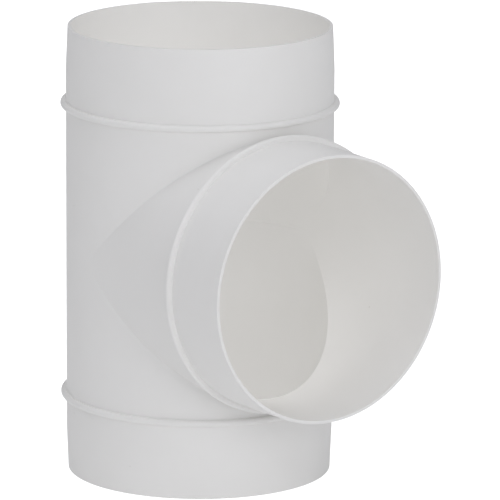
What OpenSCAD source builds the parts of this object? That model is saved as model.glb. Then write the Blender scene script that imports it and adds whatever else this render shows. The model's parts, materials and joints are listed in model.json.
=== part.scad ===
// Equal tee for round ventilation duct: a plain run, a branch of the same diameter square to it,
// and a plain spigot on each of the three ends, with a stop rib behind each spigot.
// The object is a single thin-walled moulding. Its named regions are drawn as separate solids
// that meet face to face, so that each can be shown, measured and reused by itself.
//
// Origin: where the run's axis and the branch's axis cross.
// +Z is up, along the run. +X points out along the branch.

/* [Tube] */
// Outside diameter of the run, of the branch and of the straight part of each spigot
tube_d = 100; // [80:1:104]
// Thickness of the wall
wall = 1.8; // [1.4:0.1:3]
// Distance from the crossing of the axes to each of the three mouths
reach = 84.5; // [83:0.5:100]

/* [Spigots] */
// Length of a spigot, from the face of its stop rib to its mouth
spigot_len = 28; // [24:0.5:28]
// Length of the straight part of a spigot, next to its stop rib
grip_len = 12; // [8:0.5:16]
// How much smaller in diameter a mouth is than the straight part
lead_in = 1.3; // [0:0.1:1.6]
// Radius on the two edges of a mouth's rim
rim_r = 0.3; // [0.1:0.05:0.35]

/* [Stop ribs] */
// Width of a stop rib along its tube
rib_w = 2.4; // [1.6:0.1:3]
// Height of a stop rib above the tube
rib_h = 2.1; // [1.6:0.1:3]

/* [Hidden] */
$fn = 180;

tube_r = tube_d / 2;
bore_r = tube_r - wall;
mouth_r = tube_r - lead_in / 2;
spigot_z = reach - spigot_len;   // where a spigot starts, at the outer face of its rib
rib_z = spigot_z - rib_w;        // where a rib starts, at the end of the plain body
crest_r = rib_w / 2;             // a rib's crest is half round
over = 1;                        // how far a cutting shape runs past what it cuts
white = [0.93, 0.93, 0.94];

// Places its children, drawn along +Z, on the lower end of the run.
module on_lower_end() {
    mirror([0, 0, 1])
        children();
}

// Places its children, drawn along +Z, on the branch.
module on_branch() {
    rotate([0, 90, 0])
        children();
}

// A plain tube along Z.
module tube(from_z, to_z) {
    translate([0, 0, from_z])
        difference() {
            cylinder(r = tube_r, h = to_z - from_z);
            translate([0, 0, -over])
                cylinder(r = bore_r, h = to_z - from_z + 2 * over);
        }
}

// Everything on the branch's side of the two mitre planes x = z and x = -z.
// Two tubes of one diameter cross on exactly these planes.
module branch_side() {
    edge = 2 * reach;
    rotate([90, 0, 0])
        linear_extrude(height = 2 * edge, center = true)
            polygon([[0, 0], [edge, edge], [edge, -edge]]);
}

// A spigot: a straight grip, then a slight taper to a rim with rounded edges.
module spigot() {
    rotate_extrude()
        union() {
            polygon([
                [bore_r, spigot_z],
                [tube_r, spigot_z],
                [tube_r, spigot_z + grip_len],
                [mouth_r, reach - rim_r],
                [mouth_r - rim_r, reach - rim_r],
                [mouth_r - rim_r, reach],
                [bore_r + rim_r, reach],
                [bore_r + rim_r, reach - rim_r],
                [bore_r, reach - rim_r],
            ]);
            for (x = [bore_r + rim_r, mouth_r - rim_r])
                translate([x, reach - rim_r])
                    circle(r = rim_r);
        }
}

// A stop rib, with the stretch of wall under it: straight flanks and a half-round crest.
module stop_rib() {
    crest_x = tube_r + rib_h - crest_r;
    rotate_extrude()
        union() {
            translate([bore_r, rib_z])
                square([crest_x - bore_r, rib_w]);
            translate([crest_x, rib_z + crest_r])
                circle(r = crest_r);
        }
}

// The run between its two ribs, without the V-shaped window that the branch fills.
module run_body() {
    color(white)
        difference() {
            tube(-rib_z, rib_z);
            branch_side();
        }
}

// The branch, from the mitre planes out to its rib.
module branch_body() {
    color(white)
        intersection() {
            on_branch()
                tube(0, rib_z);
            branch_side();
        }
}

module upper_spigot() {
    color(white)
        spigot();
}

module lower_spigot() {
    color(white)
        on_lower_end()
            spigot();
}

module branch_spigot() {
    color(white)
        on_branch()
            spigot();
}

module upper_stop_rib() {
    color(white)
        stop_rib();
}

module lower_stop_rib() {
    color(white)
        on_lower_end()
            stop_rib();
}

module branch_stop_rib() {
    color(white)
        on_branch()
            stop_rib();
}

run_body();
branch_body();
upper_spigot();
lower_spigot();
branch_spigot();
upper_stop_rib();
lower_stop_rib();
branch_stop_rib();
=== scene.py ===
"""The looks of a thin-walled equal duct tee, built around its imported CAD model.

The real object is one white moulding. Each CAD region of it is replaced by a finer mesh of the
same region, with rounded rims, filleted ribs and a fillet where the branch runs into the run.
Neighbouring regions share their outlines and their surface normals, so no seam shows. The
branch's mouth is drawn a little out of round, and a faint line is drawn round the run's inside.
"""
import json
import math

import bpy
import numpy as np
from mathutils import Matrix, Vector

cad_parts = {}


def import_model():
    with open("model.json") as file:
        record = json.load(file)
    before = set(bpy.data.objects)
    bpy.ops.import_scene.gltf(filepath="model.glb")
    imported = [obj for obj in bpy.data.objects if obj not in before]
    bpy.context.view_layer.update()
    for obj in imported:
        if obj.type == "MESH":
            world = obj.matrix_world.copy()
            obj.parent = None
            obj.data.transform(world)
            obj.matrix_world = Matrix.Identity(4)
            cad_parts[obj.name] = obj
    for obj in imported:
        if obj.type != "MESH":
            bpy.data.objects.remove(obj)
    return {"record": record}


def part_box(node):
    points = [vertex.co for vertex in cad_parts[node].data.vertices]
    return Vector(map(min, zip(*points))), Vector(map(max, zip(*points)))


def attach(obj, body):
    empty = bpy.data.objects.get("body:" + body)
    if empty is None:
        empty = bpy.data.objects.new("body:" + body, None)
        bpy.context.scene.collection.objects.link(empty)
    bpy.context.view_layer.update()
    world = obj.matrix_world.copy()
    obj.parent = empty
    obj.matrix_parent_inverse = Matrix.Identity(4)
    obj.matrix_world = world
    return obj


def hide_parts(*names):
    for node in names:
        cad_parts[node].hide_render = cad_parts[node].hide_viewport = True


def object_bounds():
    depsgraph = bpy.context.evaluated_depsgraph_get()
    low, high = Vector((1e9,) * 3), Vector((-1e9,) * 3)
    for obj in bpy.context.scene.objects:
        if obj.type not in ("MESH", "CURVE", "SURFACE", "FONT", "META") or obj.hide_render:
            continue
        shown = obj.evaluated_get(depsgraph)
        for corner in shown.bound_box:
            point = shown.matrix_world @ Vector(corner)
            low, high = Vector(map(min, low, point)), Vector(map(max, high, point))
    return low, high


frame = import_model()
cad_low, cad_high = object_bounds()

# ---------------------------------------------------------------- sizes, in metres
MM = 0.001
mounts = {m["name"]: m for m in frame["record"]["mounts"]}
TUBE_R = mounts["upper_spigot_outside"]["dims"]["r_mm"] * MM
BORE_R = mounts["run_bore"]["dims"]["r_mm"] * MM
GRIP_LEN = mounts["upper_spigot_outside"]["dims"]["length_mm"] * MM
INSET = 0.002 * MM                 # keeps these finer meshes inside the CAD's flat facets
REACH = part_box("upper_spigot")[1].z - INSET
RIB_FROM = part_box("upper_stop_rib")[0].z
RIB_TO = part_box("upper_stop_rib")[1].z
RIB_R = -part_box("upper_stop_rib")[0].x - INSET

MOUTH_R = TUBE_R - 0.65 * MM       # outside radius at a mouth
MOUTH_SPRING = 0.4 * MM            # added to the branch's mouth radius, on average round it
RIM_R = 0.15 * MM                  # radius on both edges of a rim
TAPER_BLEND_R = 60 * MM            # radius between a spigot's straight part and its taper
ROOT_R = 0.1 * MM                  # fillet at the foot of a rib
CREASE_R = 0.8 * MM                # fillet where the branch runs into the run, outside
INNER_EDGE_R = 0.35 * MM           # radius on the edge between the two bores
WITNESS_HALF = 0.3 * MM            # half width of the faint line round the inside of the run
WITNESS_H = 0.12 * MM              # its height

WITNESS_FADE = 0.15                # the line fades out where it nears the branch: share of a radius

SECTORS = 240                      # faces round a tube
HALF_TURN = SECTORS // 2           # faces round half of it
ARC_STEPS = 10                     # faces along a quarter of a circle
BODY_ROWS = 12                     # faces along half of the run's plain body
ROUND_TO = 1e8                     # steps in a metre; corners on the same step are one corner

# ---------------------------------------------------------------- meshes


class Shell:
    """Collects faces of a closed shell, with an exact surface normal at each face's corners."""

    def __init__(self):
        self.places = {}
        self.verts = []
        self.faces = []
        self.normals = []

    def vert(self, p):
        key = tuple(round(c * ROUND_TO) for c in p)
        if key not in self.places:
            self.places[key] = len(self.verts)
            self.verts.append(tuple(p))
        return self.places[key]

    def face(self, points, normals):
        """Adds a face, dropping corners that fall on one another and turning it to face outwards."""
        corners = []
        for p, n in zip(points, normals):
            v = self.vert(p)
            if v not in [c[0] for c in corners]:
                corners.append((v, n))
        if len(corners) < 3:
            return
        a, b, c = (np.array(self.verts[v]) for v, _ in (corners[0], corners[1], corners[-1]))
        if np.cross(b - a, c - a) @ sum(np.array(n) for _, n in corners) < 0:
            corners.reverse()
        self.faces.append([v for v, _ in corners])
        self.normals.append([tuple(n) for _, n in corners])

    def grid(self, points, normals):
        """Adds the faces of a grid: points[row][column] with the normals there."""
        for i in range(len(points) - 1):
            for j in range(len(points[i]) - 1):
                ring = ((i, j), (i, j + 1), (i + 1, j + 1), (i + 1, j))
                self.face([points[r][c] for r, c in ring], [normals[r][c] for r, c in ring])

    def made(self, name, place=Matrix.Identity(4)):
        """Turns the shell into a mesh object, moved by a rotation first."""
        mesh = bpy.data.meshes.new(name)
        mesh.from_pydata([tuple(place @ Vector(v)) for v in self.verts], [], self.faces)
        mesh.shade_smooth()
        turn = place.to_3x3()
        mesh.normals_split_custom_set([tuple(turn @ Vector(n)) for f in self.normals for n in f])
        mesh.validate()
        piece = bpy.data.objects.new(name, mesh)
        bpy.context.scene.collection.objects.link(piece)
        return piece


def arc(centre, radius, start, end, side=1):
    """Points of an arc in the (r, z) plane, with normals away from its centre, or towards it."""
    steps = max(2, round(ARC_STEPS * abs(end - start) / 90))
    run = []
    for a in np.radians(np.linspace(start, end, steps + 1)):
        out = (math.cos(a), math.sin(a))
        at = (centre[0] + radius * out[0], centre[1] + radius * out[1])
        run.append((*at, side * out[0], side * out[1]))
    return run


def line(start, end, normal, steps=1):
    """Points of a straight stretch in the (r, z) plane, with one normal."""
    first, last = np.array(start), np.array(end)
    return [(*(first + (last - first) * i / steps), *normal) for i in range(steps + 1)]


def revolved(runs):
    """The shell that runs of (r, z, normal r, normal z) points sweep out round Z."""
    shell = Shell()
    angles = np.linspace(0, 2 * math.pi, SECTORS + 1)
    angles[-1] = 0
    for run in runs:
        points = [[(r * math.cos(a), r * math.sin(a), z) for a in angles] for r, z, _, _ in run]
        normals = [[(nr * math.cos(a), nr * math.sin(a), nz) for a in angles] for _, _, nr, nz in run]
        shell.grid(points, normals)
    return shell


def spigot():
    """A spigot: straight, then slightly tapered, with a rounded rim."""
    start = RIB_TO + ROOT_R
    grip_end = RIB_TO + GRIP_LEN
    rim_z = REACH - RIM_R
    tilt = math.atan2(TUBE_R - MOUTH_R, rim_z - grip_end)
    blend = TAPER_BLEND_R * math.tan(tilt / 2)
    centre = (TUBE_R - TAPER_BLEND_R, grip_end - blend)
    away = (math.cos(tilt), math.sin(tilt))
    skin = line((TUBE_R, start), (TUBE_R, grip_end - blend), (1, 0), 4)
    skin += arc(centre, TAPER_BLEND_R, 0, math.degrees(tilt))
    skin += line(skin[-1][:2], (MOUTH_R - RIM_R + RIM_R * away[0], rim_z + RIM_R * away[1]), away, 5)
    skin += arc((MOUTH_R - RIM_R, rim_z), RIM_R, math.degrees(tilt), 90)
    skin += arc((BORE_R + RIM_R, rim_z), RIM_R, 90, 180)
    skin += line((BORE_R, rim_z), (BORE_R, start), (-1, 0), 9)
    return revolved([skin, line((BORE_R, start), (TUBE_R, start), (0, -1))])


def sprung_spigot():
    """A spigot whose thin mouth is a little out of round: wider, and more so on one side.

    That side is +Y, which turning the spigot on to the branch leaves as it is.
    """
    shell = spigot()
    for i, (x, y, z) in enumerate(shell.verts):
        along = (z - RIB_TO) / (REACH - RIB_TO)
        r = math.hypot(x, y)
        grow = 1 + MOUTH_SPRING * along**2 * (1 + y / r) / r
        shell.verts[i] = (x * grow, y * grow, z)
    return shell


def stop_rib():
    """A stop rib: a half-round crest on straight flanks, with a fillet at each foot."""
    low, high = RIB_FROM - ROOT_R, RIB_TO + ROOT_R
    crest_r = (RIB_TO - RIB_FROM) / 2
    crest = (RIB_R - crest_r, (RIB_TO + RIB_FROM) / 2)
    foot = TUBE_R + ROOT_R
    skin = arc((foot, low), ROOT_R, 180, 90, -1)
    skin += arc(crest, crest_r, -90, 90)
    skin += arc((foot, high), ROOT_R, 270, 180, -1)
    bore = line((BORE_R, high), (BORE_R, low), (-1, 0), 2)
    return revolved([
        skin,
        line((TUBE_R, high), (BORE_R, high), (0, 1)),
        bore,
        line((BORE_R, low), (TUBE_R, low), (0, -1)),
    ])


def crease_column(radius, fillet, angle, end):
    """One line of the run's skin from its end down to the mitre plane, at an angle from +X.

    Two tubes of one radius meet on the mitre plane. A ball of the fillet's radius rolls along the
    crease between them. It touches the run where the straight part of this line ends.
    """
    c, s = math.cos(angle), math.sin(angle)
    if c < 1e-9:
        c = 0.0
    run_out, branch_out = np.array([c, s, 0.0]), np.array([0.0, s, c])
    turn = math.acos(min(1.0, max(-1.0, float(run_out @ branch_out))))
    top = (radius + fillet) * c
    levels = [end + (top - end) * i / BODY_ROWS for i in range(BODY_ROWS + 1)]
    points = [(radius * c, radius * s, z) for z in levels]
    normals = [tuple(run_out)] * len(points)
    ball = (radius + fillet) * np.array([c, s, c])
    for i in range(1, ARC_STEPS + 1):
        u = i / (2 * ARC_STEPS)
        if turn > 1e-6:
            out = math.sin((1 - u) * turn) * run_out + math.sin(u * turn) * branch_out
            out = out / math.sin(turn)
        else:
            out = run_out
        points.append(tuple(ball - fillet * out))
        normals.append(tuple(out))
    return points, normals


def front_angles():
    """Angles round the half of the run that faces the branch."""
    return [math.pi * (i / HALF_TURN - 0.5) for i in range(HALF_TURN + 1)]


def back_angles():
    """Angles round the half of the run away from the branch."""
    return [math.pi * (i / HALF_TURN + 0.5) for i in range(HALF_TURN + 1)]


def transposed(columns):
    """Turns a list of columns into a list of rows."""
    return [list(row) for row in zip(*columns)]


def mirrored(rows):
    """The same rows of points or normals on the other side of the middle plane, z = 0."""
    return [[(x, y, -z) for x, y, z in row] for row in rows]


def on_branch(rows):
    """Rows of points or normals with X and Z exchanged, which mirrors them in the mitre plane."""
    return [[(p[2], p[1], p[0]) for p in row] for row in rows]


def crease_skin(radius, fillet, side):
    """Rows of the run's skin in front of the upper crease; side is -1 on the inside of the wall."""
    end = RIB_FROM - ROOT_R
    columns = [crease_column(radius, fillet, a, end) for a in front_angles()]
    points = transposed([c[0] for c in columns])
    normals = [[tuple(side * v for v in n) for n in row] for row in transposed([c[1] for c in columns])]
    return points, normals


def mitre_face(shell, outer_row, inner_row, normal):
    """The hidden face between two regions on a mitre plane."""
    shell.grid([outer_row, inner_row], [[normal] * len(outer_row)] * 2)


def end_ring(shell, z, up):
    """The hidden flat ring at an end of the run's plain body."""
    angles = np.linspace(0, 2 * math.pi, SECTORS + 1)
    angles[-1] = 0
    rows = [[(r * math.cos(a), r * math.sin(a), z) for a in angles] for r in (TUBE_R, BORE_R)]
    shell.grid(rows, [[(0, 0, up)] * len(angles)] * 2)


def back_skin(shell, radius, side, height):
    """The half of the run's skin away from the branch, with a thin raised line round its middle."""
    end = RIB_FROM - ROOT_R
    top = WITNESS_HALF / 2
    plain = range(BODY_ROWS, -1, -1)
    levels = [WITNESS_HALF + (end - WITNESS_HALF) * i / BODY_ROWS for i in plain] + [top, 0.0]
    rises = [0.0] * len(plain) + [height, height]
    for (z0, rise0), (z1, rise1) in zip(zip(levels, rises), zip(levels[1:], rises[1:])):
        points, normals = [[], []], []
        for a in back_angles():
            c, s = math.cos(a), math.sin(a)
            fade = min(1.0, max(0.0, -c / WITNESS_FADE))
            slope = fade * (rise1 - rise0) / (z0 - z1)
            for row, z, rise in ((points[0], z0, rise0), (points[1], z1, rise1)):
                r = radius + side * fade * rise
                row.append((r * c, r * s, z))
            out = np.array([side * c, side * s, slope])
            normals.append(tuple(out / np.linalg.norm(out)))
        shell.grid(points, [normals, normals])
        shell.grid(mirrored(points), mirrored([normals, normals]))


def run_body():
    """The run between its ribs, up to the mitre planes."""
    shell = Shell()
    end = RIB_FROM - ROOT_R
    rows = {}
    for radius, fillet, side in ((TUBE_R, CREASE_R, 1), (BORE_R, INNER_EDGE_R, -1)):
        points, normals = crease_skin(radius, fillet, side)
        shell.grid(points, normals)
        shell.grid(mirrored(points), mirrored(normals))
        back_skin(shell, radius, side, WITNESS_H if side < 0 else 0.0)
        rows[side] = points[-1]
    half = math.sqrt(0.5)
    mitre_face(shell, rows[1], rows[-1], (half, 0, -half))
    mitre_face(shell, mirrored([rows[1]])[0], mirrored([rows[-1]])[0], (half, 0, half))
    end_ring(shell, end, 1)
    end_ring(shell, -end, -1)
    return shell


def branch_body():
    """The branch from the mitre planes to its rib."""
    shell = Shell()
    rows = {}
    for radius, fillet, side in ((TUBE_R, CREASE_R, 1), (BORE_R, INNER_EDGE_R, -1)):
        points, normals = crease_skin(radius, fillet, side)
        points, normals = on_branch(points), on_branch(normals)
        shell.grid(points, normals)
        shell.grid(mirrored(points), mirrored(normals))
        rows[side] = points
    half = math.sqrt(0.5)
    mitre_face(shell, rows[1][-1], rows[-1][-1], (-half, 0, half))
    mitre_face(shell, mirrored([rows[1][-1]])[0], mirrored([rows[-1][-1]])[0], (-half, 0, -half))
    end_rows = [rows[1][0], rows[-1][0]]
    for ring in (end_rows, mirrored(end_rows)):
        shell.grid(ring, [[(1, 0, 0)] * len(ring[0])] * 2)
    return shell


UP = Matrix.Identity(4)
DOWN = Matrix.Rotation(math.pi, 4, "X")
ALONG_BRANCH = Matrix.Rotation(math.pi / 2, 4, "Y")

regions = {
    "run_body": (run_body, UP),
    "branch_body": (branch_body, UP),
    "upper_spigot": (spigot, UP),
    "lower_spigot": (spigot, DOWN),
    "branch_spigot": (sprung_spigot, ALONG_BRANCH),
    "upper_stop_rib": (stop_rib, UP),
    "lower_stop_rib": (stop_rib, DOWN),
    "branch_stop_rib": (stop_rib, ALONG_BRANCH),
}

# ---------------------------------------------------------------- materials

TINT_LOW = (0.897, 0.891, 0.873, 1)     # base colour where the flow noise is low
TINT_HIGH = (0.917, 0.911, 0.895, 1)    # and where it is high
SPECK_TINT = (0.8, 0.79, 0.77, 1)       # what a speck multiplies it by
SPECK_R = 0.4 * MM
SPECKS_PER_M = 80.0
SMOOTHEST, ROUGHEST = 0.38, 0.5         # range of the surface's roughness
WAVE_H = 0.02 * MM                      # height of the waves in the wall
GRAIN_H = 0.0012 * MM                   # height of the mould's grain


def node(tree, kind, place=(0, 0), **inputs):
    """A new node with values for its sockets; an underscore in a name stands for a space."""
    made = tree.nodes.new(kind)
    made.location = place
    for name, value in inputs.items():
        made.inputs[name.replace("_", " ")].default_value = value
    return made


def ramp(tree, place, value, low_at, low, high_at, high):
    """A colour ramp between two colours, driven by a socket."""
    made = node(tree, "ShaderNodeValToRGB", place)
    first, last = made.color_ramp.elements
    first.position, first.color = low_at, low
    last.position, last.color = high_at, high
    tree.links.new(value, made.inputs["Fac"])
    return made


def moulded_plastic():
    """White satin plastic: slightly uneven in tint, gloss and level, with a few pinhead specks."""
    mat = bpy.data.materials.new("moulded_white_plastic")
    mat.use_nodes = True
    tree = mat.node_tree
    link = tree.links.new
    shader = tree.nodes["Principled BSDF"]
    shader.inputs["IOR"].default_value = 1.5
    where = node(tree, "ShaderNodeTexCoord", (-1300, 0)).outputs["Object"]

    # slow changes of tint, as the melt flowed and cooled
    flow = node(tree, "ShaderNodeTexNoise", (-1050, 250), Scale=24.0, Detail=4.0)
    flow.inputs["Roughness"].default_value = 0.55
    flow.inputs["Distortion"].default_value = 0.6
    link(where, flow.inputs["Vector"])
    tint = ramp(tree, (-800, 250), flow.outputs["Fac"], 0.3, TINT_LOW, 0.7, TINT_HIGH)

    # sparse dark specks under 1 mm wide
    cells = node(tree, "ShaderNodeTexVoronoi", (-1050, 550), Scale=SPECKS_PER_M, Randomness=1.0)
    link(where, cells.inputs["Vector"])
    far, near = SPECK_R * SPECKS_PER_M, 0.4 * SPECK_R * SPECKS_PER_M
    speck = ramp(tree, (-800, 550), cells.outputs["Distance"], near, SPECK_TINT, far, (1, 1, 1, 1))
    mixed = tree.nodes.new("ShaderNodeMix")
    mixed.data_type = "RGBA"
    mixed.blend_type = "MULTIPLY"
    mixed.inputs["Factor"].default_value = 1.0
    link(tint.outputs["Color"], mixed.inputs["A"])
    link(speck.outputs["Color"], mixed.inputs["B"])
    link(mixed.outputs["Result"], shader.inputs["Base Color"])

    # gloss: satin, rubbed a little smoother in patches
    rubbed = node(tree, "ShaderNodeTexNoise", (-1050, -50), Scale=55.0, Detail=5.0, Roughness=0.6)
    link(where, rubbed.inputs["Vector"])
    gloss = node(tree, "ShaderNodeMapRange", (-800, -50), From_Min=0.3, From_Max=0.7)
    gloss.inputs["To Min"].default_value = SMOOTHEST
    gloss.inputs["To Max"].default_value = ROUGHEST
    link(rubbed.outputs["Fac"], gloss.inputs["Value"])
    link(gloss.outputs["Result"], shader.inputs["Roughness"])

    # level: a thin wall's slight waves, and the fine grain of the mould
    waves = node(tree, "ShaderNodeTexNoise", (-1050, -350), Scale=70.0, Detail=1.0, Roughness=0.4)
    grain = node(tree, "ShaderNodeTexNoise", (-1050, -600), Scale=1500.0, Detail=2.0, Roughness=0.5)
    wavy = node(tree, "ShaderNodeBump", (-800, -350), Strength=1.0, Distance=WAVE_H)
    grainy = node(tree, "ShaderNodeBump", (-550, -450), Strength=1.0, Distance=GRAIN_H)
    for noise, bump in ((waves, wavy), (grain, grainy)):
        link(where, noise.inputs["Vector"])
        link(noise.outputs["Fac"], bump.inputs["Height"])
    link(wavy.outputs["Normal"], grainy.inputs["Normal"])
    link(grainy.outputs["Normal"], shader.inputs["Normal"])
    return mat


plastic = moulded_plastic()
for name, (shape, place) in regions.items():
    piece = shape().made("moulded_" + name, place)
    piece.data.materials.append(plastic)
    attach(piece, "root")
    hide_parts(name)

# ---------------------------------------------------------------- floor, lights and camera

SOFTBOXES = (
    # name, azimuth, elevation, watts
    ("overhead", 0, 89, 13.7),
    ("front_high", 60, 30, 9.95),
    ("right", 90, 12, 9.4),
    ("left_high", 315, 45, 5.5),
)
SOFTBOX_AWAY = 2.5          # metres from the tee
SOFTBOX_SIZE = 1.4          # metres along each side
COOL_WHITE = (0.967, 0.970, 1.0)

FILLS = (
    # Lamps inside the tee. The wall is drawn opaque, and they stand in for light that may pass it.
    # name, place, watts
    ("fill_upper", (0, 0, 50 * MM), 0.0116),
    ("fill_lower", (0, 0, -50 * MM), 0.0044),
    ("fill_branch", (50 * MM, 0, -20 * MM), 0.0059),
)
FILL_SIZE = 30 * MM
WARM_WHITE = (1.0, 0.97, 0.92)

ROOM_GLOW = 0.322           # how strongly the room's white walls light the tee
FLOOR_GLOW = 0.118          # how strongly the floor does by itself
SEEN_WHITE = 0.9            # how brightly the camera sees the floor, so that it looks plain white
SEEN_ROOM = 1.2             # and the room
FLOOR_SIZE = 12             # metres


def floor():
    """A white floor. To the camera it glows, which leaves no shadow on it; as a light it's faint."""
    bpy.ops.mesh.primitive_plane_add(size=FLOOR_SIZE, location=(0, 0, cad_low.z - 0.1 * MM))
    made = bpy.context.object
    made.name = "floor"
    mat = bpy.data.materials.new("floor")
    mat.use_nodes = True
    tree = mat.node_tree
    shader = tree.nodes["Principled BSDF"]
    shader.inputs["Base Color"].default_value = (0.9, 0.9, 0.9, 1)
    shader.inputs["Roughness"].default_value = 0.9
    shader.inputs["Emission Color"].default_value = (1, 1, 1, 1)
    path = node(tree, "ShaderNodeLightPath", (-500, 0))
    glow = node(tree, "ShaderNodeMapRange", (-250, 0), To_Min=FLOOR_GLOW, To_Max=SEEN_WHITE)
    tree.links.new(path.outputs["Is Camera Ray"], glow.inputs["Value"])
    tree.links.new(glow.outputs["Result"], shader.inputs["Emission Strength"])
    made.data.materials.append(mat)


def world():
    """White walls all round. To the camera they are much brighter than they are as a light."""
    made = bpy.data.worlds.new("studio")
    bpy.context.scene.world = made
    made.use_nodes = True
    tree = made.node_tree
    back = tree.nodes["Background"]
    back.inputs["Color"].default_value = (*COOL_WHITE, 1)
    path = node(tree, "ShaderNodeLightPath", (-500, 0))
    seen = node(tree, "ShaderNodeMapRange", (-250, 0), To_Min=ROOM_GLOW, To_Max=SEEN_ROOM)
    tree.links.new(path.outputs["Is Camera Ray"], seen.inputs["Value"])
    tree.links.new(seen.outputs["Result"], back.inputs["Strength"])


def softbox(name, azimuth, elevation, watts):
    """A square light that faces the tee, placed by compass angles as the camera is."""
    data = bpy.data.lights.new(name, "AREA")
    data.shape = "SQUARE"
    data.size = SOFTBOX_SIZE
    data.energy = watts
    data.color = COOL_WHITE
    made = bpy.data.objects.new(name, data)
    bpy.context.scene.collection.objects.link(made)
    made.location = towards(azimuth, elevation) * SOFTBOX_AWAY
    made.rotation_euler = made.location.to_track_quat("Z", "Y").to_euler()
    made.visible_camera = False


def fill(name, place, watts):
    """A faint, large lamp inside the tee, seen neither directly nor in the gloss."""
    data = bpy.data.lights.new(name, "POINT")
    data.shadow_soft_size = FILL_SIZE
    data.energy = watts
    data.color = WARM_WHITE
    made = bpy.data.objects.new(name, data)
    bpy.context.scene.collection.objects.link(made)
    made.location = place
    made.visible_camera = False
    made.visible_glossy = False


def towards(azimuth, elevation):
    """The direction from the tee to a point at those angles; azimuth 0 is -Y and 90 is +X."""
    a, e = math.radians(azimuth), math.radians(elevation)
    return Vector((math.sin(a) * math.cos(e), -math.cos(a) * math.cos(e), math.sin(e)))


def camera():
    """A long lens from the front right, a little above the tee."""
    azimuth, elevation, distance = 56.07, 12.96, 2.056
    aim_right, aim_up = 18.84 * MM, -1.28 * MM
    roll = math.radians(0.288)
    back = towards(azimuth, elevation)
    right = Vector((0, 0, 1)).cross(back).normalized()
    aim = right * aim_right + back.cross(right) * aim_up
    data = bpy.data.cameras.new("camera")
    data.lens = 395.04
    data.sensor_width = 36
    data.clip_end = 100
    made = bpy.data.objects.new("camera", data)
    bpy.context.scene.collection.objects.link(made)
    made.location = back * distance
    made.rotation_mode = "QUATERNION"
    look = (made.location - aim).to_track_quat("Z", "Y")
    made.rotation_quaternion = look @ Matrix.Rotation(roll, 3, "Z").to_quaternion()
    bpy.context.scene.camera = made


floor()
world()
for box in SOFTBOXES:
    softbox(*box)
for lamp in FILLS:
    fill(*lamp)
camera()
bpy.context.scene.view_settings.view_transform = "Standard"
